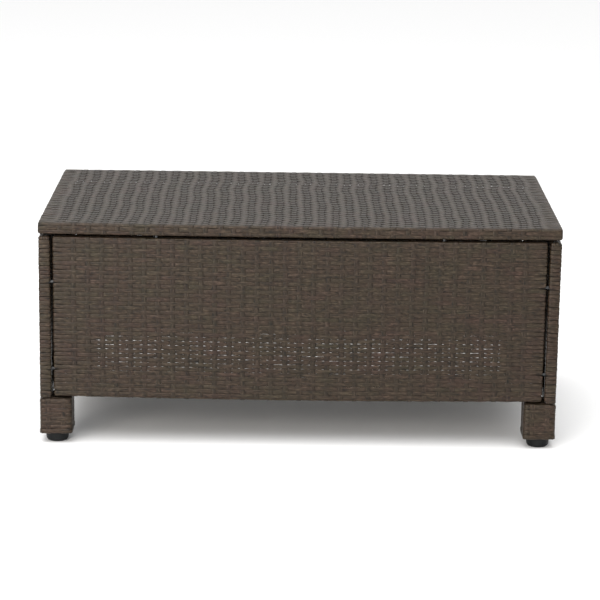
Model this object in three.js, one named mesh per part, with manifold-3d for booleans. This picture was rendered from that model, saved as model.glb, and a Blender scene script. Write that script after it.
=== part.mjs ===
// Wicker coffee table: five woven panels on welded steel tube frames, bolted together and standing on four
// levelling feet. Millimetres, +Z up, the front towards -Y, origin on the floor at the footprint's centre.
//
// Each panel is drawn lying flat and centred: x along its length, y up its face, and its outer face at z = 0
// with its thickness below. A group then stands it in its place.
import * as THREE from "three";
import { mergeVertices } from "three/addons/utils/BufferGeometryUtils.js";
import Module from "manifold-3d";

const wasm = await Module();
wasm.setup();

// ---- Driving dimensions ----
const WIDTH = 900; // overall, along X
const DEPTH = 488; // overall, along Y
const HEIGHT = 395; // floor to table top
const SEAM = 4; // open joint between neighbouring panels
const PANEL_HEIGHT = 284.5; // front and back panels
const LEG_WIDTH = 56; // woven leg, square
const FOOT_HEIGHT = 16.5; // foot showing under the woven leg

const TUBE = 15; // square steel tube of the panel frames
const TUBE_WALL = 1.2;
const FIELD = 4.2; // over-and-under weave on a panel's outer face, with its clearance
const WRAP = 1.8; // strand wrapped round a tube's other sides, with its clearance
const GAP = 0.3; // clearance between touching pieces
const EDGE_ROUNDING = 3;
const CORNER_ROUNDING = 5;
const TOP_BRACE_X = 146; // crossbars of the top frame, from the centre line

const LEG_TUBE = 51; // square steel tube of a leg
const LEG_TUBE_WALL = 1.5;
const LEG_PLATE = 3; // plate welded into the leg tube's lower end
const STUB = 11; // square bar that joins a leg tube to the side frame above it
const WELD_NUT = { radius: 8, height: 8, bite: 1 };
const FOOT_STUD = { radius: 4, length: 40, inPad: 8, chamfer: 1 }; // M8
const FOOT_PAD = { topRadius: 20.5, waistRadius: 19.6, baseRadius: 15, edge: 6, lip: 0.8 };

const BOLT_DEPTH = 10.5; // from the front or back face to the bolts' axes
const BOLT_TO_TOP_X = 247; // from the centre line, for the bolts that hold the table top
const BOLT_HEIGHTS = { upper: 289, lower: 134 }; // of the bolts that hold the front and back to the sides
const BOLT = { radius: 3, length: 35, headRadius: 5, headHeight: 6, bite: 1 }; // M6
const SOCKET = { radius: 2.9, depth: 3 }; // hexagonal, in a bolt's head
const WASHER = { radius: 6, bore: 3.3, thickness: 1.2 };
const RIVET_NUT = { radius: 4.5, bore: 3.3, length: 12, flangeRadius: 6.2, flange: 0.8 };
const STRAND_OPENING = 7; // radius of the place where strands part round a bolt, in a seam

// ---- Derived places ----
const THICKNESS = FIELD + TUBE + WRAP;
const RIM = WRAP + TUBE + WRAP; // wrapped tube, across the panel's face
const PANEL_TOP = HEIGHT - THICKNESS - SEAM;
const PANEL_BOTTOM = PANEL_TOP - PANEL_HEIGHT;
const PANEL_LENGTH = WIDTH - 2 * (THICKNESS + SEAM);
const LEG_TOP = PANEL_BOTTOM - SEAM;
const SIDE_BOTTOM = LEG_TOP + GAP;
const SIDE_HEIGHT = PANEL_TOP - SIDE_BOTTOM;
const LEG_X = WIDTH / 2 - LEG_WIDTH / 2;
const LEG_Y = DEPTH / 2 - LEG_WIDTH / 2;
const LEG_TUBE_BOTTOM = FOOT_HEIGHT + WRAP;
const TUBE_MIDDLE = -FIELD - TUBE / 2; // centre plane of a panel's tubes

// ---- Materials ----
function paint(color, roughness, metalness) {
  return new THREE.MeshStandardMaterial({ color, roughness, metalness });
}

const wicker = paint(0x54493f, 0.6, 0);
const powderCoat = paint(0x2a2521, 0.55, 0.3);
const zinc = paint(0xb9bbb8, 0.35, 1);
const blackPlastic = paint(0x17181a, 0.5, 0);

// ---- Solids ----
// A closed three.js geometry as a manifold-3d solid.
function solid(geometry, x = 0, y = 0, z = 0) {
  const bare = geometry.clone().translate(x, y, z);
  bare.deleteAttribute("normal");
  bare.deleteAttribute("uv");
  const merged = mergeVertices(bare, 1e-4);
  const vertProperties = new Float32Array(merged.attributes.position.array);
  const triVerts = new Uint32Array(merged.index.array);
  return new wasm.Manifold(new wasm.Mesh({ numProp: 3, vertProperties, triVerts }));
}

function box(width, depth, height, x = 0, y = 0, z = 0) {
  return solid(new THREE.BoxGeometry(width, depth, height), x, y, z);
}

// A cylinder along "x", "y" or "z", centred on a point.
function rod(radius, length, axis, [x, y, z], sides = 12) {
  const geometry = new THREE.CylinderGeometry(radius, radius, length, sides);
  if (axis === "x") geometry.rotateZ(Math.PI / 2);
  if (axis === "z") geometry.rotateX(Math.PI / 2);
  return solid(geometry, x, y, z);
}

// A body of revolution about Z, from [radius, height] points that go up with the axis on their left.
function turned(profile, sides) {
  const points = profile.map(([radius, height]) => new THREE.Vector2(radius, height));
  return solid(new THREE.LatheGeometry(points, sides).rotateX(Math.PI / 2));
}

function cut(body, ...tools) {
  return tools.reduce((left, tool) => left.subtract(tool), body);
}

function join(...bodies) {
  return bodies.reduce((all, body) => all.add(body));
}

function mesh(name, body, material) {
  const { numProp, vertProperties, triVerts } = body.getMesh();
  const geometry = new THREE.BufferGeometry();
  geometry.setAttribute("position", new THREE.BufferAttribute(vertProperties, numProp));
  geometry.setIndex(new THREE.BufferAttribute(triVerts, 1));
  geometry.computeVertexNormals();
  const made = new THREE.Mesh(geometry, material);
  made.name = name;
  return made;
}

function roundedRectangle(width, height, radius, inset) {
  const x = width / 2 - radius;
  const y = height / 2 - radius;
  const r = radius - inset;
  const outline = new THREE.Shape();
  outline.absarc(x, y, r, 0, Math.PI / 2);
  outline.absarc(-x, y, r, Math.PI / 2, Math.PI);
  outline.absarc(-x, -y, r, Math.PI, Math.PI * 1.5);
  outline.absarc(x, -y, r, Math.PI * 1.5, Math.PI * 2);
  return outline;
}

// ---- Panels ----
// A panel's outer shape, with rounded corners and edges.
function slab(length, height) {
  const outline = roundedRectangle(length, height, CORNER_ROUNDING, EDGE_ROUNDING);
  const geometry = new THREE.ExtrudeGeometry(outline, {
    depth: THICKNESS - 2 * EDGE_ROUNDING,
    bevelThickness: EDGE_ROUNDING,
    bevelSize: EDGE_ROUNDING,
    bevelSegments: 2,
    curveSegments: 3,
  });
  return solid(geometry, 0, 0, EDGE_ROUNDING - THICKNESS);
}

// A square-section rectangular ring whose outer side lies inset from a panel's edges.
function ring({ length, height }, inset, bar) {
  const long = length - 2 * inset;
  const tall = height - 2 * inset;
  const outside = box(long, tall, bar, 0, 0, TUBE_MIDDLE);
  return cut(outside, box(long - 2 * bar, tall - 2 * bar, 2 * bar, 0, 0, TUBE_MIDDLE));
}

// The crossbars of a panel; each runs on past its tubes' inner sides by reach.
function crossbars({ height, braces }, bar, reach) {
  const length = height - 2 * (WRAP + TUBE) + 2 * reach;
  return braces.map((x) => box(bar, length, bar, x, 0, TUBE_MIDDLE));
}

function tubeFrame(panel, holes) {
  const inside = TUBE - 2 * TUBE_WALL;
  const metal = join(ring(panel, WRAP, TUBE), ...crossbars(panel, TUBE, TUBE_WALL / 2));
  const hollow = join(ring(panel, WRAP + TUBE_WALL, inside), ...crossbars(panel, inside, 2 * TUBE_WALL));
  return cut(metal, hollow, ...holes);
}

function weave(panel, holes) {
  const { length, height } = panel;
  const tubes = ring(panel, WRAP - GAP, TUBE + 2 * GAP);
  const windowDepth = THICKNESS;
  const window = box(length - 2 * RIM, height - 2 * RIM, windowDepth, 0, 0, GAP - FIELD - windowDepth / 2);
  return cut(slab(length, height), tubes, window, ...crossbars(panel, TUBE + 2 * GAP, 2 * WRAP), ...holes);
}

// The bolt places of a long panel in its own flat frame: axis, way to the bolt's tip, and point on the edge.
function panelBolts() {
  const middle = (PANEL_TOP + PANEL_BOTTOM) / 2;
  return [-1, 1].flatMap((side) => [
    { axis: "x", way: side, at: [(side * PANEL_LENGTH) / 2, BOLT_HEIGHTS.upper - middle, -BOLT_DEPTH] },
    { axis: "x", way: side, at: [(side * PANEL_LENGTH) / 2, BOLT_HEIGHTS.lower - middle, -BOLT_DEPTH] },
    { axis: "y", way: 1, at: [side * BOLT_TO_TOP_X, PANEL_HEIGHT / 2, -BOLT_DEPTH] },
  ]);
}

// The hole that a bolt takes through a panel's wrapped edge.
function boltHole({ axis, way, at }) {
  const along = axis === "x" ? 0 : 1;
  const middle = at.map((value, i) => (i === along ? value - (way * RIM) / 2 : value));
  return rod(BOLT.radius + 2 * GAP, RIM + 2 * WRAP, axis, middle);
}

// A front or back panel: its frame and its weave.
function longPanel(name) {
  const panel = { length: PANEL_LENGTH, height: PANEL_HEIGHT, braces: [] };
  const bolts = panelBolts();
  const openings = bolts.map(({ axis, at }) => rod(STRAND_OPENING, 2 * WRAP, axis, at));
  const group = new THREE.Group();
  group.add(mesh(`${name}_frame`, tubeFrame(panel, bolts.map(boltHole)), powderCoat));
  group.add(mesh(`${name}_weave`, weave(panel, [...bolts.map(boltHole), ...openings]), wicker));
  return group;
}

// The holes for rivet nuts at points of a panel's inner face: in its tubes, and where its strands part.
function nutHoles(points) {
  return points.map((at) => rod(RIVET_NUT.radius + GAP, 2 * (WRAP + 2 * TUBE_WALL), "z", at));
}

function nutOpenings(points) {
  return points.map((at) => rod(STRAND_OPENING, 2 * (WRAP + GAP), "z", at));
}

// The table top, whose long tubes take the bolts that come up from the front and back panels.
function tableTop() {
  const panel = { length: WIDTH, height: DEPTH, braces: [-TOP_BRACE_X, TOP_BRACE_X] };
  const points = [-1, 1].flatMap((side) =>
    [-1, 1].map((end) => [side * BOLT_TO_TOP_X, end * (DEPTH / 2 - BOLT_DEPTH), -THICKNESS]),
  );
  const group = new THREE.Group();
  group.add(mesh("top_frame", tubeFrame(panel, nutHoles(points)), powderCoat));
  group.add(mesh("top_weave", weave(panel, nutOpenings(points)), wicker));
  return group;
}

// A leg's steel tube, upright on the floor: a closed top, and a plate with a weld nut in its lower end.
function legTube() {
  const height = LEG_TOP - WRAP - LEG_TUBE_BOTTOM;
  const hollow = LEG_TUBE - 2 * LEG_TUBE_WALL;
  const inside = height - LEG_PLATE - LEG_TUBE_WALL;
  const plateTop = LEG_TUBE_BOTTOM + LEG_PLATE;
  const shell = cut(
    box(LEG_TUBE, LEG_TUBE, height, 0, 0, LEG_TUBE_BOTTOM + height / 2),
    box(hollow, hollow, inside, 0, 0, plateTop + inside / 2),
  );
  const nutMiddle = plateTop - WELD_NUT.bite + WELD_NUT.height / 2;
  const nut = rod(WELD_NUT.radius, WELD_NUT.height, "z", [0, 0, nutMiddle], 6);
  const thread = rod(FOOT_STUD.radius + GAP, 2 * (LEG_PLATE + WELD_NUT.height), "z", [0, 0, LEG_TUBE_BOTTOM]);
  return cut(join(shell, nut), thread);
}

// A side panel's frame with its two leg tubes, and its weave. Here z = 0 is the table's outer side.
function sidePanel(name) {
  const panel = { length: DEPTH, height: SIDE_HEIGHT, braces: [] };
  const middle = (PANEL_TOP + SIDE_BOTTOM) / 2;
  const points = [-1, 1].flatMap((end) =>
    Object.values(BOLT_HEIGHTS).map((height) => [end * (DEPTH / 2 - BOLT_DEPTH), height - middle, -THICKNESS]),
  );
  const stub = (end, width, height) => {
    const x = end * (DEPTH / 2 - WRAP - TUBE / 2);
    return box(width, height, width, x, LEG_TOP - middle, TUBE_MIDDLE);
  };
  const legs = [-1, 1].map((end) =>
    legTube()
      .rotate([-90, 0, 0])
      .translate([end * LEG_Y, -middle, -LEG_WIDTH / 2]),
  );
  const stubs = [-1, 1].map((end) => stub(end, STUB, 2 * (WRAP + TUBE_WALL)));
  const passages = [-1, 1].map((end) => stub(end, STUB + 2 * GAP, 4 * WRAP));
  const group = new THREE.Group();
  group.add(mesh(`${name}_frame`, join(tubeFrame(panel, nutHoles(points)), ...legs, ...stubs), powderCoat));
  group.add(mesh(`${name}_weave`, weave(panel, [...nutOpenings(points), ...passages]), wicker));
  return group;
}

// ---- Legs and feet, standing on the floor at the origin ----
// The woven sleeve of a leg; outX and outY point to the table's corner that it stands at.
function legWeave(outX, outY) {
  const sleeve = new THREE.ExtrudeGeometry(roundedRectangle(LEG_WIDTH, LEG_WIDTH, CORNER_ROUNDING, 0), {
    depth: LEG_TOP - FOOT_HEIGHT,
    bevelEnabled: false,
    curveSegments: 4,
  });
  const bore = LEG_TUBE + 2 * GAP;
  const boreTop = LEG_TOP - WRAP + GAP;
  const passage = STUB + 2 * GAP;
  const stubX = outX * (LEG_WIDTH / 2 + TUBE_MIDDLE);
  const stubY = outY * (LEG_WIDTH / 2 - WRAP - TUBE / 2);
  return cut(
    solid(sleeve, 0, 0, FOOT_HEIGHT),
    box(bore, bore, boreTop, 0, 0, boreTop / 2),
    box(passage, passage, 4 * WRAP, stubX, stubY, LEG_TOP),
  );
}

function footStud() {
  const { radius, length, inPad, chamfer } = FOOT_STUD;
  const well = LEG_TUBE_BOTTOM - GAP - inPad;
  const bottom = well + GAP;
  const top = well + length;
  return turned(
    [
      [0, bottom],
      [radius, bottom],
      [radius, top - chamfer],
      [radius - chamfer, top],
      [0, top],
    ],
    12,
  );
}

function footPad() {
  const { topRadius, waistRadius, baseRadius, edge, lip } = FOOT_PAD;
  const top = LEG_TUBE_BOTTOM - GAP;
  const well = top - FOOT_STUD.inPad;
  const bore = FOOT_STUD.radius + GAP;
  const rounded = [0, 1, 2, 3].map((step) => {
    const angle = (step / 3) * (Math.PI / 2);
    return [baseRadius + (waistRadius - baseRadius) * Math.sin(angle), edge * (1 - Math.cos(angle))];
  });
  return turned(
    [
      [0, 0],
      ...rounded,
      [topRadius, top - 4 * lip],
      [topRadius, top - lip],
      [topRadius - lip, top],
      [bore, top],
      [bore, well],
      [0, well],
    ],
    24,
  );
}

// ---- Fasteners, drawn with the bolt pointing to +Z and the inner side of its wrapped tube at z = 0 ----
function bolt() {
  const seat = -WASHER.thickness - GAP;
  const head = rod(BOLT.headRadius, BOLT.headHeight, "z", [0, 0, seat - BOLT.headHeight / 2]);
  const shank = rod(BOLT.radius, BOLT.length + BOLT.bite, "z", [0, 0, seat + (BOLT.length - BOLT.bite) / 2]);
  const socket = rod(SOCKET.radius, 2 * SOCKET.depth, "z", [0, 0, seat - BOLT.headHeight], 6);
  return cut(join(head, shank), socket);
}

function washer() {
  const middle = [0, 0, -(WASHER.thickness + GAP) / 2];
  return cut(
    rod(WASHER.radius, WASHER.thickness - GAP, "z", middle),
    rod(WASHER.bore, 2 * WASHER.thickness, "z", middle),
  );
}

// A rivet nut whose flange rests on the near wall, at z = 0, of the tube that it holds.
function rivetNut() {
  const { radius, bore, length, flangeRadius, flange } = RIVET_NUT;
  const flangeTop = -GAP / 2;
  const barrel = rod(radius, length, "z", [0, 0, flangeTop - flange + length / 2]);
  const collar = rod(flangeRadius, flange, "z", [0, 0, flangeTop - flange / 2]);
  return cut(join(barrel, collar), rod(bore, 2 * length, "z", [0, 0, length / 2]));
}

// One bolted joint; the group's +Z becomes the way the bolt points.
function boltedJoint(name, position, towards) {
  const group = new THREE.Group();
  group.position.set(...position);
  group.quaternion.setFromUnitVectors(new THREE.Vector3(0, 0, 1), new THREE.Vector3(...towards));
  group.add(mesh(`${name}_bolt`, bolt(), zinc));
  group.add(mesh(`${name}_washer`, washer(), zinc));
  const nut = mesh(`${name}_rivet_nut`, rivetNut(), zinc);
  nut.position.z = RIM + SEAM + WRAP;
  group.add(nut);
  return group;
}

// ---- Assembly ----
// Stands a flat panel upright with its outer face at a distance from the centre, turned about Z.
function stand(panel, distance, middle, turn) {
  panel.rotation.x = Math.PI / 2;
  panel.position.set(0, -distance, middle);
  const placed = new THREE.Group();
  placed.add(panel);
  placed.rotation.z = turn;
  return placed;
}

const table = new THREE.Group();

const top = tableTop();
top.position.z = HEIGHT;
table.add(top);

const panelMiddle = (PANEL_TOP + PANEL_BOTTOM) / 2;
table.add(stand(longPanel("front_panel"), DEPTH / 2, panelMiddle, 0));
table.add(stand(longPanel("back_panel"), DEPTH / 2, panelMiddle, Math.PI));

const sideMiddle = (PANEL_TOP + SIDE_BOTTOM) / 2;
table.add(stand(sidePanel("left_side"), WIDTH / 2, sideMiddle, -Math.PI / 2));
table.add(stand(sidePanel("right_side"), WIDTH / 2, sideMiddle, Math.PI / 2));

for (const [yName, outY] of [["front", -1], ["back", 1]]) {
  for (const [xName, outX] of [["left", -1], ["right", 1]]) {
    const corner = `${yName}_${xName}`;
    const leg = new THREE.Group();
    leg.position.set(outX * LEG_X, outY * LEG_Y, 0);
    leg.add(mesh(`${corner}_leg_weave`, legWeave(outX, outY), wicker));
    leg.add(mesh(`${corner}_foot_stud`, footStud(), zinc));
    leg.add(mesh(`${corner}_foot_pad`, footPad(), blackPlastic));
    table.add(leg);

    const boltX = outX * (PANEL_LENGTH / 2 - RIM);
    const boltY = outY * (DEPTH / 2 - BOLT_DEPTH);
    table.add(boltedJoint(`${corner}_upper`, [boltX, boltY, BOLT_HEIGHTS.upper], [outX, 0, 0]));
    table.add(boltedJoint(`${corner}_lower`, [boltX, boltY, BOLT_HEIGHTS.lower], [outX, 0, 0]));
    table.add(boltedJoint(`${corner}_top`, [outX * BOLT_TO_TOP_X, boltY, PANEL_TOP - RIM], [0, 0, 1]));
  }
}

export default table;
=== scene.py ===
"""Looks of the wicker coffee table: every woven node of the CAD frame becomes real interlaced strands.

Each panel has a flat frame of its own, in millimetres: u along its length, v up its face, and w out of
the face, which is at w = 0. Weaving strands run along u, over and under stakes that run along v. Both
wrap the panel's tubes, so a strand's place is given by how far it runs along a folded line.
"""

import math

import bpy
import numpy as np
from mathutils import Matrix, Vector


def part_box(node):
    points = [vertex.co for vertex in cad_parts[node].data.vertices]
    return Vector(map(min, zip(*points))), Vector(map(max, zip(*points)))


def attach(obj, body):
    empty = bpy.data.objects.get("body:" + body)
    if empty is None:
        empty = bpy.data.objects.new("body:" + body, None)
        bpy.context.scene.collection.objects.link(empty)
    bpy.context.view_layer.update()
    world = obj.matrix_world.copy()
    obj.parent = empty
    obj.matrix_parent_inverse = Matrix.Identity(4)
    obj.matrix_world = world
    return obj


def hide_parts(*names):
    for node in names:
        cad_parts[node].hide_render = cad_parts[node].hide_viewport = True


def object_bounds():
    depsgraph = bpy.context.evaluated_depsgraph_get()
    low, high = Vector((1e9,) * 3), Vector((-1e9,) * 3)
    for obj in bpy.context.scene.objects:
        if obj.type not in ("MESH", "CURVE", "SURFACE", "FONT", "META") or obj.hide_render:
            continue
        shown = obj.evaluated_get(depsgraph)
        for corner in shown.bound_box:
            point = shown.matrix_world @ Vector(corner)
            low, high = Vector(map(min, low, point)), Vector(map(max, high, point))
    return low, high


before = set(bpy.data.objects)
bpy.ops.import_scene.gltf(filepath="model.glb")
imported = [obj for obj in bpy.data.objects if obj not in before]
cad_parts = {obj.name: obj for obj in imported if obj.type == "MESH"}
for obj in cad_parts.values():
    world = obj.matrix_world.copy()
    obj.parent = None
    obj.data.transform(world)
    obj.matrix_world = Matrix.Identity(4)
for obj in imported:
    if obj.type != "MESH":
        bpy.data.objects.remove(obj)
cad_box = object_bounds()

MM = 0.001
PANEL_RIM = 18.6  # width of a wrapped tube, seen square to the panel
FIELD_DEPTH = 4.2  # room for the weave outside a panel's tubes
CROSSBAR_X = 146.0  # of the top's crossbars, from the centre line
CROSSBAR_NARROWING = 0.35  # how much narrower the top's weavers are over a crossbar
CROSSBAR_REACH = 14.0

# ---- Strands ----
ROW = 7.7  # from one weaving strand to the next
WEAVER_HALF = 3.89  # half the width of a weaving strand
PINCH = 0.24  # how much narrower loose weavers are beside a stake
PINCH_FROM_STAKE = 6.4  # from a stake's middle to the narrowest place
PINCH_REACH = 2.0
STAKE_HALF = 4.4
PITCH = 24.8  # from one stake to the next
FRONT_PITCH = 24.3
TOP_STAKES = 34
FRONT_STAKES = 33
SIDE_STAKES = 18
LOOSE_BAND = (132.0, 200.5)  # lowest and highest place of the front's loose weavers, above the floor
STRAND_HALF_THICKNESS = 0.46
FACE_SWING = 0.75  # how far a weaving strand rises and falls over the face, where it is loose
TIGHT_SWING = 0.42  # the same where it is tight
CURL = 0.16  # how far a weaver's edges bend down where it crosses over a stake
WRAP_CURL = 0.1  # the same where it wraps a tube
WRAP_SWING = 0.42
STAKE_FACE_SWING = 0.34
STAKE_WRAP_SWING = 0.3
FACE_CLEARANCE = 0.05  # between the highest strand and the outer face
FACE_INSET = FACE_SWING + STRAND_HALF_THICKNESS + FACE_CLEARANCE  # of the weave's middle surface
WRAP_INSET = 0.9  # the same where strands wrap a tube
WRAP_LIFT = 0.25  # how much prouder weavers lie where they wrap an end tube
BACK_WRAP_LIFT = 2.8  # the same on the back panel, which keeps daylight out of its seams
WRAP_NARROWING = 0.3  # how much narrower weavers are past a panel's last stake
TOP_WRAP_NARROWING = 0.8
CROSSING_REACH = 9.0  # how far from a stake's middle a weaver gets painted shade, darker and rougher
CROSSING_SHADE_ELSEWHERE = 0.3  # how much of that painted shade and roughness it gets on other panels than the top, as a share
BEND = 2.8  # radius of the middle surface round a tube's edge
CORNER = 2.8  # radius in which the strands of the long edges turn a panel's corner
NOTCH = 5.0  # how far strands part round a bolt
NOTCH_REACH = 11.0
STAKE_PARTING = 1.4  # how much further stakes part than weavers
FADE_RATE = 2.2  # how fast a weaver settles past the last stake, per stake
EDGE_HOLD = 0.4  # share of its swing that a weaver keeps beside a long edge
HELD_ROWS = 5  # rows over which the swing grows less towards a long edge
WRAP_START = 3.0  # from the last stake to a weaver's next station
WRAP_SPACING = 6.0
FOLD_SPACING = 4.0  # between stations where a stake wraps a long edge
LEAST_TURN = 0.3  # smallest radius in which an edge weaver turns a corner

# ---- Weavers along a panel's long edges ----
SIDEWAYS = 1.8  # those turned from the face by less than this angle lie on the outer side
FACING_BACK = np.pi - 0.1  # those turned by this or more lie on the back, between the end tubes
EDGE_TAIL = 5.0  # how far an outer one runs on past its corner
EDGE_TAIL_MIDDLE = 2.0
TUBE_OVERLAP = 2.0  # how far one on the back runs on over an end tube
EDGE_SINK = 1.1  # how far its ends sink
SINK_LENGTH = 3.0
EDGE_STRAY = 0.8  # share of the usual straying

# The section of a strand, as shares of its half width and half thickness.
SECTION_ACROSS = np.array([-1, -0.88, -0.4, 0.4, 0.88, 1, 0.8, -0.8])
SECTION_HEIGHT = np.array([0, 0.75, 1, 1, 0.75, 0, -1, -1])
SIDES = len(SECTION_ACROSS)

# Where a weaver is drawn, as shares of the way from one stake to the next.
STATIONS = np.array([0, 0.175, 0.265, 0.355, 0.5, 0.645, 0.735, 0.825])
EDGE_STATIONS = 6  # places from one stake to the next where a strand of a long edge is drawn
CORNER_STATIONS = np.array([0.25, 0.5, 0.75, 1])  # the same round a panel's corner, as shares of the turn


def over_or_under(number):
    """1 for an even strand and -1 for an odd one."""
    return 1 - 2 * (number % 2)


def hump(count):
    """Rise and fall of a weaver, from the count of stakes that it has crossed: level between stakes."""
    wave = np.cos(np.pi * count)
    return wave * np.abs(wave) ** 1.5


def swing(count):
    """Rise and fall of a stake, from the count of weavers that it has crossed: level over each weaver."""
    wave = np.cos(np.pi * count)
    return 1.5 * wave - 0.5 * wave**3


def scaled(amount, axis):
    """The vectors that are amount times as long as axis."""
    return amount[..., None] * axis


def parting(gap, share):
    """How far a strand moves aside from a bolt that is gap away from its own line."""
    side = np.where(gap < 0, -1.0, 1.0)
    return side * (np.sqrt(gap**2 + NOTCH**2 * share) - np.abs(gap))


class Wobble:
    """Smooth seeded wobbles, one for each of count strands."""

    SHARES = np.array([0.5, 0.3, 0.2])
    GAIN = 1.6  # brings the sum of the waves up to about the size asked for

    def __init__(self, seed, count, size, length):
        rng = np.random.default_rng(seed)
        self.size = size
        self.waves = length * (self.SHARES * 2) * rng.uniform(0.8, 1.25, (count, 3))
        self.phases = rng.uniform(0, 2 * np.pi, (count, 3))

    def at(self, strand, place):
        turns = 2 * np.pi * np.asarray(place)[..., None] / self.waves[strand] + self.phases[strand]
        return self.size * (self.SHARES * np.sin(turns)).sum(-1) * self.GAIN


class Fold:
    """A line that runs flat from its middle to either side and then turns inwards round edges."""

    def __init__(self, *flats, bend=BEND):
        self.flats = flats
        self.bend = bend
        self.arc = bend * np.pi / 2
        self.end = sum(flats) + self.arc * (len(flats) - 1)

    def follow(self, path):
        """Sideways and outward place, and turn from the face, at a signed distance along the line."""
        side = np.where(path < 0, -1.0, 1.0)
        left = np.abs(path)
        across = np.zeros_like(left)
        out = np.zeros_like(left)
        angle = np.zeros_like(left)
        for index, flat in enumerate(self.flats):
            heading = index * np.pi / 2
            last = index == len(self.flats) - 1
            step = np.maximum(left, 0) if last else np.clip(left, 0, flat)
            turn = 0 if last else np.clip(left - flat, 0, self.arc) / self.bend
            across += step * np.cos(heading) + self.bend * (np.sin(heading + turn) - np.sin(heading))
            out += -step * np.sin(heading) + self.bend * (np.cos(heading + turn) - np.cos(heading))
            angle += turn
            left = left - flat - self.arc
        return side * across, out, side * angle

    def stations(self, start, spacing):
        """Distances from start to the line's end, with two round each edge."""
        places = []
        begin = 0.0
        for flat in self.flats:
            stop = begin + flat
            if stop > start:
                first = max(begin, start)
                steps = max(1, round((stop - first) / spacing))
                places.extend(np.linspace(first, stop, steps + 1))
            begin = stop + self.arc
            if begin < self.end:
                places.extend(stop + self.arc * np.array([1, 2]) / 3)
        return np.unique(np.round([place for place in places if place >= start], 4))


class Bundle:
    """Strands gathered into one mesh, each with its own lengthwise grain."""

    CAP = np.array([[7, 2, 1, 0], [6, 3, 2, 7], [5, 4, 3, 6]])  # corners of the faces over a strand's end
    GRAINS = 100  # range of the numbers that tell one strand's grain from another's
    GRAIN_START = 500  # range of the places where a strand's grain starts

    def __init__(self, name, seed):
        self.name = name
        self.rng = np.random.default_rng(seed)
        self.points = []
        self.faces = []
        self.grain = []
        self.inner = []
        # painted shade, per point: how much a weaver is darkened where it crosses a stake
        self.crossing_shade = []
        self.count = 0

    def strand(self, surface, along, across, height, half, curl=0.0, crossing_shade=0.0, closed=False):
        """Adds a strand: surface gives the points for distances along and across it and heights above it.

        Curl is how far its edges bend down, and the argument after it how much painted shade darkens it
        and how much rougher it looks, ring by ring.
        """
        across_all = np.asarray(across)[:, None] + np.asarray(half)[:, None] * SECTION_ACROSS
        curl_all = np.broadcast_to(curl, np.shape(height))[:, None] * SECTION_ACROSS**2
        height_all = np.asarray(height)[:, None] + STRAND_HALF_THICKNESS * SECTION_HEIGHT - curl_all
        along_all = np.broadcast_to(np.asarray(along)[:, None], across_all.shape)
        points = surface(along_all, across_all, height_all)
        rings = len(points)
        around = np.arange(SIDES)
        after = (around + 1) % SIDES
        first = np.arange(rings if closed else rings - 1)[:, None]
        second = (first + 1) % rings
        ring = first * SIDES
        next_ring = second * SIDES
        faces = (ring + around, ring + after, next_ring + after, next_ring + around)
        quads = np.stack(faces, -1).reshape(-1, 4)
        if not closed:
            last = (rings - 1) * SIDES
            quads = np.concatenate([quads, self.CAP, self.CAP[:, ::-1] + last])
        flat = points.reshape(-1, 3)
        corners = flat[quads[0]]
        outward = corners.mean(0) - points[:2].reshape(-1, 3).mean(0)
        if np.dot(np.cross(corners[1] - corners[0], corners[3] - corners[0]), outward) < 0:
            quads = quads[:, ::-1]
        seed = np.full(along_all.shape, self.rng.uniform(0, self.GRAINS))
        offset = self.rng.uniform(0, self.GRAIN_START)
        span = np.asarray(half)[:, None] * SECTION_ACROSS
        self.points.append(flat)
        self.faces.append(quads + self.count)
        self.grain.append(np.stack([along_all + offset, span, seed], -1).reshape(-1, 3))
        self.inner.append(np.tile(SECTION_HEIGHT < 0, rings))
        self.crossing_shade.append(np.repeat(np.broadcast_to(crossing_shade, rings), SIDES))
        self.count += len(flat)

    def build(self, material, nodes, body="table"):
        """Makes the piece, which rides on the table and stands in for CAD nodes."""
        points = np.concatenate(self.points) * MM
        faces = np.concatenate(self.faces)
        mesh = bpy.data.meshes.new(self.name)
        mesh.vertices.add(len(points))
        mesh.vertices.foreach_set("co", points.astype(np.float32).ravel())
        mesh.loops.add(faces.size)
        mesh.loops.foreach_set("vertex_index", faces.astype(np.int32).ravel())
        mesh.polygons.add(len(faces))
        loop_starts = np.arange(0, faces.size, 4, dtype=np.int32)
        mesh.polygons.foreach_set("loop_start", loop_starts)
        mesh.update(calc_edges=True)
        mesh.polygons.foreach_set("use_smooth", np.ones(len(faces), bool))
        grain = mesh.attributes.new("grain", "FLOAT_VECTOR", "POINT")
        grain.data.foreach_set("vector", np.concatenate(self.grain).astype(np.float32).ravel())
        for name, values in (("inner", self.inner), ("crossing_shade", self.crossing_shade)):
            attribute = mesh.attributes.new(name, "FLOAT", "POINT")
            attribute.data.foreach_set("value", np.concatenate(values).astype(np.float32))
        mesh.materials.append(material)
        piece = bpy.data.objects.new(self.name, mesh)
        bpy.context.scene.collection.objects.link(piece)
        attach(piece, body)
        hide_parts(*nodes)


# ---- Panels ----
def bolt_nodes():
    """Names of the CAD nodes that strands have to part round."""
    return [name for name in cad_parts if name.endswith("_bolt")]


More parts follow.
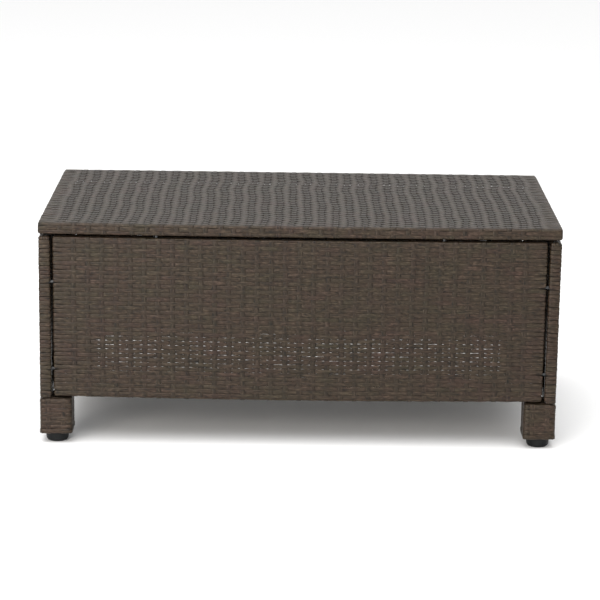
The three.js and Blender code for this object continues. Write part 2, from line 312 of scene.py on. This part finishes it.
class Panel:
    """A woven panel of the frame, with the places of the strands that cover it.

    Out and up are the directions of its face and of its stakes. Drift is how far its stakes wander, and
    sag how far its upper and lower rows hang at mid-length.
    """

    def __init__(
        self, name, out, up, stakes, pitch, seed, drift=0.5, sag=None, loose=None, lift=WRAP_LIFT
    ):
        self.name = name
        self.is_top = out[2] > 0
        self.w = np.array(out, float)
        self.v = np.array(up, float)
        self.u = np.cross(self.v, self.w)
        low, high = (np.array(corner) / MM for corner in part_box(f"{name}_weave"))
        size = high - low
        self.length, self.height, self.depth = (abs(size @ axis) for axis in (self.u, self.v, self.w))
        self.centre = (low + high) / 2 + self.w * self.depth / 2
        side = self.depth - FACE_INSET - WRAP_INSET - 2 * BEND
        back = PANEL_RIM - 2 * WRAP_INSET - 2 * BEND
        inside = self.depth - WRAP_INSET - BEND - FIELD_DEPTH
        self.along = Fold(self.length / 2 - WRAP_INSET - BEND, side, back, inside)
        self.upward = Fold(self.height / 2 - WRAP_INSET - BEND, side, back, inside)
        self.stakes = stakes
        self.pitch = pitch
        self.seed = seed
        self.sag = sag
        self.loose = loose  # lowest and highest place, above the floor, of loose weavers
        self.lift = lift
        self.drift = Wobble(seed, stakes, size=drift, length=190)
        self.shared_drift = Wobble(seed + 1, 1, size=drift, length=260)
        self.end_bolts, self.edge_bolts = self.find_bolts()

    def find_bolts(self):
        """Where bolts pass through the panel.

        Those at its ends are (side, v, distance along a weaver), and those at its edges (u, distance
        along a stake).
        """
        ends = []
        edges = []
        for node in bolt_nodes():
            low, high = (np.array(corner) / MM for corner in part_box(node))
            turned = np.array([self.u, self.v, self.w]).T
            u, v, w = ((low + high) / 2 - self.centre) @ turned
            length = np.abs((high - low) @ turned)
            in_length = abs(u) < self.length / 2 + length[0] / 2
            in_height = abs(v) < self.height / 2 + length[1] / 2
            in_depth = -self.depth - length[2] / 2 < w < length[2] / 2
            if not (in_length and in_height and in_depth):
                continue
            if length[0] > max(length[1], length[2]):
                ends.append((np.sign(u), v, self.on_side(self.along, -w)))
            elif length[1] > length[2]:
                edges.append((u, np.sign(v) * self.on_side(self.upward, -w)))
            elif self.length / 2 - abs(u) < self.height / 2 - abs(v):
                ends.append((np.sign(u), v, self.on_back(self.along, self.length / 2 - abs(u))))
            else:
                edges.append((u, np.sign(v) * self.on_back(self.upward, self.height / 2 - abs(v))))
        return ends, edges

    @staticmethod
    def on_side(fold, depth):
        return fold.flats[0] + fold.arc + depth - FACE_INSET - BEND

    @staticmethod
    def on_back(fold, inset):
        return fold.flats[0] + fold.flats[1] + 2 * fold.arc + inset - WRAP_INSET - BEND

    def world(self, u, v, w):
        """Points of the table, in millimetres, from places in the panel's own frame."""
        points = self.centre + scaled(u, self.u) + scaled(v, self.v) + scaled(w, self.w)
        if not self.sag:
            return points
        at_high, at_low = self.sag
        share = np.clip(0.5 - v / self.height, 0, 1)
        bow = 1 - (2 * u / self.length) ** 2
        drop = (at_high + (at_low - at_high) * share) * np.clip(bow, 0, 1)
        return points + scaled(drop, np.array([0, 0, -1.0]))

    def weaver_surface(self, path, v, height):
        """Over the face and round the end tubes."""
        u, w, angle = self.along.follow(path)
        return self.world(u + height * np.sin(angle), v, w - FACE_INSET + height * np.cos(angle))

    def stake_surface(self, path, u, height):
        """Over the face and round the tubes of the long edges."""
        v, w, angle = self.upward.follow(path)
        return self.world(u, v + height * np.sin(angle), w - FACE_INSET + height * np.cos(angle))

    def edge_surface(self, path, across, height):
        """Along a long edge, where across is measured along a stake, turning the panel's corners."""
        v, w, angle = self.upward.follow(across)
        v = v + height * np.sin(angle)
        w = w - FACE_INSET + height * np.cos(angle)
        side = np.sign(across)
        turn_from = self.length / 2 - WRAP_INSET - CORNER
        turn_centre = self.height / 2 - WRAP_INSET - CORNER
        past = np.maximum(np.abs(path) - turn_from, 0)
        turn = np.clip(past / CORNER, 0, np.pi / 2)
        beyond = np.maximum(past - CORNER * np.pi / 2, 0)
        radius = np.maximum(side * v - turn_centre, LEAST_TURN)
        turned_u = turn_from + radius * np.sin(turn)
        turned_v = turn_centre + radius * np.cos(turn) - beyond
        turning = past > 0
        u = np.where(turning, np.sign(path) * turned_u, path)
        v = np.where(turning, side * turned_v, v)
        return self.world(u, v, w)

    def stake_places(self, v):
        """Where each stake crosses the height v."""
        numbers = np.arange(self.stakes)
        together = self.shared_drift.at(0, v)
        return (numbers - (self.stakes - 1) / 2) * self.pitch + self.drift.at(numbers, v) + together

    def stake_count(self, u, places):
        """How many stakes lie before u, as a number with a fraction; whole on a stake."""
        numbers = np.arange(self.stakes)
        count = np.interp(u, places, numbers)
        count = np.where(u < places[0], (u - places[0]) / self.pitch, count)
        return np.where(u > places[-1], numbers[-1] + (u - places[-1]) / self.pitch, count)

    def fade(self, count):
        """1 among the stakes, and falling off beyond the first and last, which hold a weaver up."""
        beyond = np.maximum(np.maximum(-0.5 - count, count - self.stakes + 0.5), 0)
        return np.exp(-FADE_RATE * beyond)

    def is_loose(self, v):
        return self.loose is not None and self.loose[0] < self.centre[2] + v < self.loose[1]

    def swing_at(self, v):
        """How far a weaver at v rises and falls; less beside the long edges, which hold it down."""
        from_edge = self.height / 2 - abs(v)
        wide = self.is_top or self.is_loose(v)
        size = FACE_SWING if wide else TIGHT_SWING
        return size * min(1, EDGE_HOLD + from_edge / (HELD_ROWS * ROW))

    def rows(self):
        """Numbers of the weaving strands up one side: on the face, and round the long edge."""
        total = int((self.upward.end - WEAVER_HALF) / ROW + 0.5)
        numbers = np.arange(total)
        on_face = (numbers + 0.5) * ROW <= self.upward.flats[0]
        return numbers[on_face], numbers[~on_face]


def weave_row(bundle, panel, row, style):
    """One weaving strand of the face, wrapped round both end tubes."""
    middle = (row + 0.5) * ROW
    places = panel.stake_places(middle)
    numbers = np.arange(panel.stakes)
    inner = (numbers[:-1, None] + STATIONS).ravel()
    # Half a pitch more at either end, past the first and last stake.
    inner = np.concatenate([STATIONS[4:] - 1, inner, numbers[-1] + STATIONS[:5]])
    edges = np.interp(inner, numbers, places)
    edges = np.where(inner < 0, places[0] + inner * panel.pitch, edges)
    past_last = places[-1] + (inner - numbers[-1]) * panel.pitch
    edges = np.where(inner > numbers[-1], past_last, edges)
    right = panel.along.stations(edges[-1] + WRAP_START, WRAP_SPACING)
    left = panel.along.stations(-edges[0] + WRAP_START, WRAP_SPACING)
    path = np.concatenate([-left[::-1], edges, right])
    count = panel.stake_count(path, places)
    held = panel.fade(count)
    rise = over_or_under(row) * hump(count) * held
    wrapped = np.clip((np.abs(path) - panel.along.flats[0]) / panel.along.arc, 0, 1)
    height = panel.swing_at(middle) * rise + style["swing"].at(row, path) + panel.lift * wrapped
    height = height + style["rise"].at(row, path) * (1 - held)
    curl = 0 if panel.is_top else CURL * np.maximum(rise, 0) + WRAP_CURL * (1 - held)
    across = middle + style["lean"].at(row, path) + style["shared"].at(0, path)
    across = across + style["stray"].at(row, path) * (1 - held)
    for side, v, place in panel.end_bolts:
        share = np.exp(-(((side * path - place) / NOTCH_REACH) ** 2))
        across = across + parting(middle - v, share)
    from_stake = np.abs(count - np.round(count)) * panel.pitch
    pinched = np.exp(-(((from_stake - PINCH_FROM_STAKE) / PINCH_REACH) ** 2))
    pinch = PINCH * panel.is_loose(middle) * pinched
    half = WEAVER_HALF - pinch + style["width"].at(row, path) - style["thin"](path)
    narrowing = TOP_WRAP_NARROWING if panel.is_top else WRAP_NARROWING
    half = half - narrowing * (1 - held)
    # Painted shade: weavers are darkened, and made rougher, where they cross a stake, standing in for the
    # shade inside the weave there
    crossing_shade_share = 1 if panel.is_top else CROSSING_SHADE_ELSEWHERE
    crossing_shade = crossing_shade_share * np.exp(-((from_stake / CROSSING_REACH) ** 4)) * held
    bundle.strand(panel.weaver_surface, path, across, height, half, curl, crossing_shade)


def edge_row(bundle, panel, side, number, style):
    """One weaving strand that runs along a long edge, on the outer side or an inner side of its tube."""
    place = side * (number + 0.5) * ROW
    row = number if side > 0 else -number - 1
    _, _, angle = panel.upward.follow(np.array([place]))
    outer = abs(angle[0]) < SIDEWAYS
    turn_from = panel.length / 2 - WRAP_INSET - CORNER
    straight = turn_from
    if abs(angle[0]) >= FACING_BACK:
        straight = min(panel.length / 2 - PANEL_RIM + TUBE_OVERLAP, turn_from)
    places = panel.stake_places(np.sign(place) * panel.height / 2)
    steps = int(2 * straight / (panel.pitch / EDGE_STATIONS))
    path = np.linspace(-straight, straight, steps)
    if outer:
        extra = turn_from + CORNER_STATIONS * CORNER * np.pi / 2
        extra = np.append(extra, [extra[-1] + EDGE_TAIL_MIDDLE, extra[-1] + EDGE_TAIL])
        path = np.concatenate([-extra[::-1], path, extra])
    count = panel.stake_count(path, places)
    rise = over_or_under(row) * hump(count) * panel.fade(count)
    height = WRAP_SWING * rise
    sunk_from = turn_from + CORNER if outer else panel.length / 2 - PANEL_RIM
    height = height - EDGE_SINK * np.clip((np.abs(path) - sunk_from) / SINK_LENGTH, 0, 1)
    across = place + EDGE_STRAY * style["stray"].at(row, path) + style["shared"].at(0, path)
    for u, along in panel.edge_bolts:
        share = np.exp(-(((path - u) / NOTCH_REACH) ** 2)) * (np.sign(along) == side)
        across = across + parting(place - along, share)
    half = WEAVER_HALF + style["width"].at(row, path)
    bundle.strand(panel.edge_surface, path, across, height, half, CURL * np.maximum(rise, 0))


def stake(bundle, panel, number, style):
    """One stake, from the inner side of one long tube over the face to that of the other."""
    face = panel.upward.flats[0]
    steps = int(face / ROW * 2)
    rows = np.arange(-steps, steps + 1) * ROW / 2
    folds = panel.upward.stations(rows[-1] + 1, FOLD_SPACING)
    path = np.concatenate([-folds[::-1], rows, folds])
    v, _, angle = panel.upward.follow(path)
    places = (number - (panel.stakes - 1) / 2) * panel.pitch
    across = places + panel.drift.at(number, v) + panel.shared_drift.at(0, v)
    size = np.where(np.abs(angle) > 0, STAKE_WRAP_SWING, STAKE_FACE_SWING)
    height = -size * over_or_under(number) * swing(path / ROW - 0.5)
    for u, along in panel.edge_bolts:
        share = np.exp(-(((path - along) / NOTCH_REACH) ** 2))
        gap = across - u
        across = across + STAKE_PARTING * parting(gap, share)
    half = np.full(len(path), STAKE_HALF) + style["width"].at(number, path)
    bundle.strand(panel.stake_surface, path, across, height, half)


def make_style(panel, thin=None):
    """The irregularities of a panel's strands, each with its size and its length in millimetres."""
    count = 200  # rows are numbered from below zero, so the last wobbles serve those
    return {
        "shared": Wobble(panel.seed + 2, 1, 0.35, 400),
        "lean": Wobble(panel.seed + 3, count, 0.06, 170),
        "swing": Wobble(panel.seed + 4, count, 0.08, 60),
        "width": Wobble(panel.seed + 5, count, 0.06, 130),
        "stray": Wobble(panel.seed + 6, count, 0.5, 90),
        "rise": Wobble(panel.seed + 7, count, 0.25, 60),
        "thin": thin or np.zeros_like,
    }


def weave_panel(panel, materials, halves=1, thin=None):
    """The pieces of a panel: its weavers in one or two bundles, its stakes and its edge weavers."""
    style = make_style(panel, thin=thin)
    node = f"{panel.name}_weave"
    on_face, round_edge = panel.rows()
    rows = np.concatenate([-on_face[::-1] - 1, on_face])
    for index, part in enumerate(np.array_split(rows, halves)):
        ending = "" if halves == 1 else ("_front", "_back")[index]
        weavers = Bundle(f"{panel.name}_weavers{ending}", panel.seed + 10 + index)
        for row in part:
            weave_row(weavers, panel, row, style)
        weavers.build(materials["weavers"], [node])
    stakes = Bundle(f"{panel.name}_stakes", panel.seed + 12)
    for number in range(panel.stakes):
        stake(stakes, panel, number, style)
    stakes.build(materials["stakes"], [node])
    edges = Bundle(f"{panel.name}_edge_weavers", panel.seed + 13)
    for side in (-1, 1):
        for number in round_edge:
            edge_row(edges, panel, side, number, style)
    edges.build(materials["weavers"], [node])


# ---- Legs ----
LEG_STAKES = 8
LEG_CORNER = 3.0
LEG_FOLD = 1.4  # radius in which strands turn in over a leg's top and bottom
LEG_FLARE = 0.7  # how much prouder the lowest ring lies
LEG_TUCK = 6.0  # how far a leg's stakes run on under it and over it
LEG_SPACING = 3.0  # between a stake's stations past the outermost ring
LEG_OVERLAP = 2.0  # how far inside that ring's edge they start
LEG_TOP_SPACING = 7.0  # between the stations of the strands across its top
LEG_TOP_TUCK = 3.5  # how far the strands across its top run down its sides
LEG_WAVE = 0.25  # how far its rings rise and fall on their way round
LEG_STAKE_NARROWING = 0.3
LEG_WOBBLES = 40


class Leg:
    """A woven leg: rings of weavers round upright stakes, with strands across its top."""

    def __init__(self, name):
        low, high = (np.array(corner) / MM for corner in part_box(f"{name}_leg_weave"))
        self.name = name
        self.middle = (low + high) / 2
        self.half = (high[0] - low[0]) / 2 - WRAP_INSET
        self.height = high[2] - low[2]
        self.flat = 2 * (self.half - LEG_CORNER)
        self.quarter = self.flat + LEG_CORNER * np.pi / 2
        self.upright = Fold(self.height / 2 - WRAP_INSET - LEG_FOLD, LEG_TUCK, bend=LEG_FOLD)
        self.crossing = Fold(self.half - BEND, LEG_TOP_TUCK)

    def around(self, path):
        """Place and turn of a point on a leg's middle line, counted from the start of its front face."""
        turns, rest = np.divmod(path, self.quarter)
        bend = np.maximum(rest - self.flat, 0) / LEG_CORNER
        x = np.minimum(rest, self.flat) - self.flat / 2 + LEG_CORNER * np.sin(bend)
        y = -self.half + LEG_CORNER * (1 - np.cos(bend))
        turn = turns * np.pi / 2
        return x * np.cos(turn) - y * np.sin(turn), x * np.sin(turn) + y * np.cos(turn), bend + turn

    def surface(self, path, up, height):
        """Round the leg by path, and up its side by up, turning in over its ends."""
        z, inward, angle = self.upright.follow(up)
        x, y, facing = self.around(path)
        out = inward + height * np.cos(angle)
        z = z + height * np.sin(angle)
        return self.place(x + out * np.sin(facing), y - out * np.cos(facing), z)

    def stake_surface(self, up, path, height):
        return self.surface(path, up, height)

    def top_surface(self, path, y, height):
        """Across the top from side to side, and down behind the highest ring."""
        x, inward, angle = self.crossing.follow(path)
        z = self.height / 2 - WRAP_INSET + inward + height * np.cos(angle)
        return self.place(x + height * np.sin(angle), y, z)

    def place(self, x, y, z):
        return self.middle + np.stack([x, y, z], -1)


def weave_leg(name, seed, material):
    """The one piece of a leg: its rings, its stakes and the strands across its top."""
    leg = Leg(name)
    bundle = Bundle(f"{name}_leg_strands", seed)
    lean = Wobble(seed + 1, LEG_WOBBLES, size=0.3, length=60)
    width = Wobble(seed + 2, LEG_WOBBLES, size=0.15, length=60)
    rows = int(leg.height / ROW)
    total = 4 * leg.quarter
    stations = LEG_STAKES * EDGE_STATIONS
    ring = np.arange(stations) / stations * total
    spacing = total / LEG_STAKES
    first = leg.flat / 2 - spacing / 2
    for row in range(rows):
        count = (ring - first) / spacing
        middle = (row - (rows - 1) / 2) * ROW
        rise = over_or_under(row) * hump(count)
        height = WRAP_SWING * rise + LEG_FLARE * (row == 0)
        curl = CURL * np.maximum(rise, 0)
        across = middle + LEG_WAVE * np.sin(2 * np.pi * ring / total + row)
        half = np.full(len(ring), WEAVER_HALF)
        bundle.strand(leg.surface, ring, across, height, half, curl, closed=True)
    for number in range(LEG_STAKES):
        folds = leg.upright.stations(rows * ROW / 2 - LEG_OVERLAP, LEG_SPACING)
        inner = np.arange(-rows + 1, rows) * ROW / 2
        path = np.concatenate([-folds[::-1], inner, folds])
        height = -STAKE_WRAP_SWING * over_or_under(number) * swing(path / ROW + (rows - 1) / 2)
        across = first + number * spacing + lean.at(number, path)
        half = STAKE_HALF - LEG_STAKE_NARROWING + width.at(number, path)
        bundle.strand(leg.stake_surface, path, across, height, half)
    across_top = int(2 * leg.half / ROW)
    for number in range(across_top):
        folds = leg.crossing.stations(0, LEG_TOP_SPACING)
        path = np.concatenate([-folds[:0:-1], folds])
        y = (number - (across_top - 1) / 2) * ROW
        wobble = LEG_WOBBLES // 2 + number
        half = np.full(len(path), WEAVER_HALF) + width.at(wobble, path)
        height = lean.at(wobble, path)
        bundle.strand(leg.top_surface, path, np.full(len(path), y), height, half)
    bundle.build(material, [f"{name}_leg_weave"])


# ---- Materials ----
class Nodes:
    """Short ways to build a material's node tree."""

    def __init__(self, name):
        self.material = bpy.data.materials.new(name)
        self.material.use_nodes = True
        self.tree = self.material.node_tree
        self.shader = self.tree.nodes["Principled BSDF"]

    def add(self, kind, inputs=(), **settings):
        node = self.tree.nodes.new(kind)
        for key, value in settings.items():
            setattr(node, key, value)
        for key, value in dict(inputs).items():
            self.put(value, node.inputs[key])
        return node

    def put(self, value, socket):
        if isinstance(value, bpy.types.NodeSocket):
            self.tree.links.new(value, socket)
        else:
            socket.default_value = value

    def math(self, operation, *values):
        node = self.add("ShaderNodeMath", operation=operation)
        for index, value in enumerate(values):
            self.put(value, node.inputs[index])
        return node.outputs[0]

    def average(self, first, second):
        return self.math("ADD", self.math("MULTIPLY", first, 0.5), self.math("MULTIPLY", second, 0.5))

    def sum_of(self, total, *parts):
        """The total with each part added to it, times the part's weight."""
        for part, weight in parts:
            total = self.math("ADD", total, self.math("MULTIPLY", part, weight))
        return total

    def ramp(self, factor, *stops):
        """Colours for a factor, from stops that each give a place and a colour."""
        node = self.add("ShaderNodeValToRGB", {"Fac": factor})
        ramp = node.color_ramp
        while len(ramp.elements) < len(stops):
            ramp.elements.new(0.5)
        for element, (place, colour) in zip(ramp.elements, stops):
            element.position = place
            element.color = (*colour, 1)
        return node.outputs["Color"]

    def mix(self, factor, first, second):
        """Factor 0 gives the first colour and factor 1 the second."""
        node = self.add("ShaderNodeMix", data_type="RGBA")
        sockets = {0: factor, 6: first, 7: second}  # the others mix numbers and vectors
        for index, value in sockets.items():
            self.put(value, node.inputs[index])
        return node.outputs[2]

    def noise(self, vector, scale, detail=2.0, roughness=0.5):
        inputs = {"Vector": vector, "Scale": scale, "Detail": detail, "Roughness": roughness}
        return self.add("ShaderNodeTexNoise", inputs).outputs["Fac"]

    def object_place(self):
        return self.add("ShaderNodeTexCoord").outputs["Object"]

    def combine(self, x, y, z):
        return self.add("ShaderNodeCombineXYZ", {"X": x, "Y": y, "Z": z}).outputs[0]

    def bump(self, height, distance, strength=1.0):
        inputs = {"Height": height, "Distance": distance, "Strength": strength}
        return self.add("ShaderNodeBump", inputs).outputs["Normal"]

    def finish(self, **inputs):
        for key, value in inputs.items():
            self.put(value, self.shader.inputs[key.replace("_", " ")])
        return self.material


STREAKS_PER_MM = (0.035, 1.2)  # along a strand and across it
FLECKS_PER_MM = (0.15, 0.33)
CHANGES_PER_MM = 0.012  # slow changes of hue along a strand
SEED_STEP = 3.7  # keeps one strand's slow changes apart from another's
BROWN = (0.0250, 0.0160, 0.0090)
RED_BROWN = (0.0280, 0.0154, 0.0100)
OLIVE_BROWN = (0.0230, 0.0170, 0.0086)
DARK_SHARE = 0.2  # of a strand's middle colour, in its dark flecks
PALE_SHARE = 2.1  # the same in its pale flecks
PALE_GREY = 0.009  # added to those


def woven_resin(name, shade):
    """Flat extruded resin strand: brown-grey, streaked lengthwise, and matt on its inner side; a shade
    below 1 darkens all of it as painted shade, and painted shade also darkens weavers where they cross a
    stake.
    """
    n = Nodes(name)
    grain = n.add("ShaderNodeAttribute", attribute_name="grain").outputs["Vector"]
    parts = n.add("ShaderNodeSeparateXYZ", {"Vector": grain})
    along, across, seed = (parts.outputs[axis] for axis in "XYZ")
    streak_place = stretched(n, along, across, seed, STREAKS_PER_MM)
    streaks = n.noise(streak_place, scale=1.0, detail=3.0, roughness=0.6)
    fleck_place = stretched(n, along, across, seed, FLECKS_PER_MM)
    flecks = n.noise(fleck_place, scale=1.0, detail=2.0, roughness=0.6)
    tone = n.average(streaks, flecks)
    patches = n.noise(n.object_place(), scale=24.0)
    slow = n.math("MULTIPLY", along, CHANGES_PER_MM)
    lengths = n.noise(n.combine(slow, n.math("MULTIPLY", seed, SEED_STEP), 0.5), scale=1.0)
    hue = n.average(patches, lengths)
    brown = strand_colours(n, tone, shade, BROWN)
    red = strand_colours(n, tone, shade, RED_BROWN)
    olive = strand_colours(n, tone, shade, OLIVE_BROWN)
    to_red = n.ramp(hue, (0.50, (0, 0, 0)), (0.66, (1, 1, 1)))
    to_olive = n.ramp(hue, (0.34, (1, 1, 1)), (0.50, (0, 0, 0)))
    colour = n.mix(to_olive, n.mix(to_red, brown, red), olive)
    inner = n.add("ShaderNodeAttribute", attribute_name="inner").outputs["Fac"]
    # Painted shade: darkens a strand by up to half where it crosses a stake
    crossing_shade = n.add("ShaderNodeAttribute", attribute_name="crossing_shade").outputs["Fac"]
    colour = n.mix(n.math("MULTIPLY", crossing_shade, 0.5), colour, (0, 0, 0, 1))
    rough = n.sum_of(0.3, (streaks, 0.2), (inner, 0.5), (crossing_shade, 0.1))
    normal = n.bump(tone, distance=0.0002, strength=0.6)
    return n.finish(Base_Color=colour, Roughness=rough, Normal=normal, Specular_IOR_Level=0.21)


def stretched(n, along, across, seed, per_mm):
    """A place in a strand's own noise, with so many turns for each millimetre along and across it."""
    return n.combine(n.math("MULTIPLY", along, per_mm[0]), n.math("MULTIPLY", across, per_mm[1]), seed)


def strand_colours(n, tone, shade, colour):
    """Shades of one strand colour, chosen by tone: mostly the middle one, with dark and pale flecks, all
    scaled down by the painted shade factor.
    """
    dark = tuple(shade * DARK_SHARE * part for part in colour)
    middle = tuple(shade * part for part in colour)
    pale = tuple(shade * (PALE_SHARE * part + PALE_GREY) for part in colour)
    return n.ramp(tone, (0.39, dark), (0.47, middle), (0.53, middle), (0.62, pale))


def powder_coat():
    """Dark brown powder coat with a fine orange-peel surface."""
    n = Nodes("powder_coat")
    place = n.object_place()
    peel = n.noise(place, scale=900.0)
    patches = n.noise(place, scale=14.0, detail=3.0)
    colour = n.ramp(patches, (0.35, (0.010, 0.008, 0.0065)), (0.65, (0.017, 0.0135, 0.011)))
    rough = n.sum_of(0.5, (patches, 0.2))
    normal = n.bump(peel, distance=0.00008, strength=0.5)
    return n.finish(Base_Color=colour, Roughness=rough, Normal=normal, Specular_IOR_Level=0.15)


def shade_darkened_zinc():
    """Zinc plating, a little clouded, coloured far darker than real zinc: painted shade that dims the
    glints of bolts sitting in shaded seams.
    """
    n = Nodes("shade_darkened_zinc")
    place = n.object_place()
    clouds = n.noise(place, scale=260.0, detail=4.0)
    # Painted shade: much darker than zinc, so bolts in the seams barely glint.
    colour = n.ramp(clouds, (0.3, (0.05, 0.051, 0.053)), (0.7, (0.10, 0.102, 0.104)))
    rough = n.sum_of(0.4, (clouds, 0.22))
    return n.finish(Base_Color=colour, Roughness=rough, Metallic=1.0)


def moulded_plastic():
    """Black moulded plastic with a faint spark texture."""
    n = Nodes("moulded_plastic")
    place = n.object_place()
    spark = n.noise(place, scale=1400.0)
    scuffs = n.noise(place, scale=60.0, detail=4.0, roughness=0.65)
    colour = n.ramp(scuffs, (0.35, (0.004, 0.0045, 0.005)), (0.75, (0.011, 0.012, 0.012)))
    rough = n.sum_of(0.36, (scuffs, 0.25))
    normal = n.bump(spark, distance=0.00006, strength=0.5)
    return n.finish(Base_Color=colour, Roughness=rough, Normal=normal, Specular_IOR_Level=0.15)


def finish_cad_nodes():
    """Gives the steel, zinc and plastic nodes their materials."""
    steel, zinc, plastic = powder_coat(), shade_darkened_zinc(), moulded_plastic()
    endings = {"_frame": steel, "_bolt": zinc, "_washer": zinc, "_rivet_nut": zinc}
    endings |= {"_foot_stud": zinc, "_foot_pad": plastic}
    for name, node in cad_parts.items():
        for ending, material in endings.items():
            if name.endswith(ending):
                for slot in node.material_slots:
                    slot.material = material


# ---- Surroundings ----
def make_floor():
    """A plain pale floor, wide enough for every view."""
    mesh = bpy.data.meshes.new("floor")
    half = 12  # metres
    corners = [(-half, -half, 0), (half, -half, 0), (half, half, 0), (-half, half, 0)]
    mesh.from_pydata(corners, [], [(0, 1, 2, 3)])
    n = Nodes("pale_floor")
    mesh.materials.append(n.finish(Base_Color=(0.9, 0.9, 0.9, 1), Roughness=0.8))
    floor = bpy.data.objects.new("floor", mesh)
    bpy.context.scene.collection.objects.link(floor)


def ramped_light(tree, way, axis, span, strengths):
    """A strength that goes from one value to another as the way looked along turns towards axis."""
    towards = tree.nodes.new("ShaderNodeVectorMath")
    towards.operation = "DOT_PRODUCT"
    towards.inputs[1].default_value = axis
    spread = tree.nodes.new("ShaderNodeMapRange")
    spread.interpolation_type = "SMOOTHSTEP"
    for key, value in zip(("From Min", "From Max", "To Min", "To Max"), (*span, *strengths)):
        spread.inputs[key].default_value = value
    tree.links.new(way, towards.inputs[0])
    tree.links.new(towards.outputs["Value"], spread.inputs["Value"])
    return spread.outputs["Result"]


def make_light():
    """A pale studio, brightest behind and above and dimmer to the left and right, with two soft lamps."""
    world = bpy.data.worlds.new("studio")
    bpy.context.scene.world = world
    world.use_nodes = True
    tree = world.node_tree
    background = tree.nodes["Background"]
    background.inputs["Color"].default_value = (1, 1, 1, 1)
    way = tree.nodes.new("ShaderNodeTexCoord").outputs["Generated"]
    from_above = ramped_light(tree, way, (0, 0.5, 0.866), (-0.3, 0.8), (0.95, 1.15))
    left_flag = ramped_light(tree, way, (-1, 0, 0), (0.45, 0.8), (1, 0.6))
    right_flag = ramped_light(tree, way, (1, 0, 0), (0.45, 0.8), (1, 0.65))
    strength = from_above
    for flag in (left_flag, right_flag):
        product = tree.nodes.new("ShaderNodeMath")
        product.operation = "MULTIPLY"
        tree.links.new(strength, product.inputs[0])
        tree.links.new(flag, product.inputs[1])
        strength = product.outputs[0]
    tree.links.new(strength, background.inputs["Strength"])
    lamps = (  # name, place, size, power and colour
        ("overhead", (-0.4, -1.2, 3.2), 3.5, 120, (1, 1, 1)),
        ("front", (-1.8, -3.6, 1.0), 2.4, 105, (1, 0.95, 0.89)),
    )
    for name, place, size, power, colour in lamps:
        lamp = bpy.data.lights.new(name, "AREA")
        lamp.size = size
        lamp.energy = power
        lamp.color = colour
        lit = bpy.data.objects.new(name, lamp)
        lit.location = place
        towards_table = Vector((0, 0, 0.2)) - Vector(place)
        lit.rotation_euler = towards_table.to_track_quat("-Z", "Y").to_euler()
        bpy.context.scene.collection.objects.link(lit)


def make_camera(low, high):
    """A long lens from the front, a little left of the middle, looking slightly down."""
    back_from_front, above_top, left_of_middle = 3.9387, 0.850, 0.0137
    pitch, yaw, roll = math.radians(13.986), math.radians(0.213), math.radians(0.798)
    data = bpy.data.cameras.new("camera")
    data.sensor_width = 36
    data.lens = 141.4
    camera = bpy.data.objects.new("camera", data)
    camera.location = (-left_of_middle, low.y - back_from_front, high.z + above_top)
    level = math.cos(pitch)
    forward = Vector((math.sin(yaw) * level, math.cos(yaw) * level, -math.sin(pitch)))
    camera.rotation_euler = forward.to_track_quat("-Z", "Y").to_euler()
    camera.rotation_euler.rotate_axis("Z", roll)
    bpy.context.scene.collection.objects.link(camera)
    bpy.context.scene.camera = camera


# ---- The table ----
def over_crossbars(path):
    """Weavers of the top are pulled narrower where they cross its crossbars."""
    return CROSSBAR_NARROWING * np.exp(-(((np.abs(path) - CROSSBAR_X) / CROSSBAR_REACH) ** 2))


def weave_table():
    """Every woven piece: the top, the four sides and the legs."""
    # Stakes get a copy of the resin a quarter darker: painted shade for their recessed, shadowed places
    # in the weave.
    resin = {"weavers": woven_resin("weaver_resin", 1.0), "stakes": woven_resin("shaded_stake_resin", 0.75)}
    weave_top(resin)
    weave_front(resin)
    up = (0, 0, 1)
    back = Panel("back_panel", (0, 1, 0), up, FRONT_STAKES, FRONT_PITCH, 300, lift=BACK_WRAP_LIFT)
    weave_panel(back, resin)
    weave_panel(Panel("left_side", (-1, 0, 0), up, SIDE_STAKES, PITCH, 400), resin)
    weave_panel(Panel("right_side", (1, 0, 0), up, SIDE_STAKES, PITCH, 500), resin)
    for index, corner in enumerate(("front_left", "front_right", "back_left", "back_right")):
        weave_leg(corner, 600 + 10 * index, resin["weavers"])


def weave_top(resin):
    """The top sags a little at its front edge, and its stakes wander more than the others."""
    top = Panel("top", (0, 0, 1), (0, 1, 0), TOP_STAKES, PITCH, 100, drift=1.5, sag=(0.0, 1.5))
    weave_panel(top, resin, halves=2, thin=over_crossbars)


def weave_front(resin):
    """The front sags towards its lower edge, and light shows through a band of loose rows."""
    out = (0, -1, 0)
    up = (0, 0, 1)
    sag = (1.5, 3.6)
    front = Panel("front_panel", out, up, FRONT_STAKES, FRONT_PITCH, 200, sag=sag, loose=LOOSE_BAND)
    weave_panel(front, resin)


weave_table()
finish_cad_nodes()
make_floor()
make_light()
make_camera(*cad_box)
bpy.context.scene.view_settings.view_transform = "Standard"
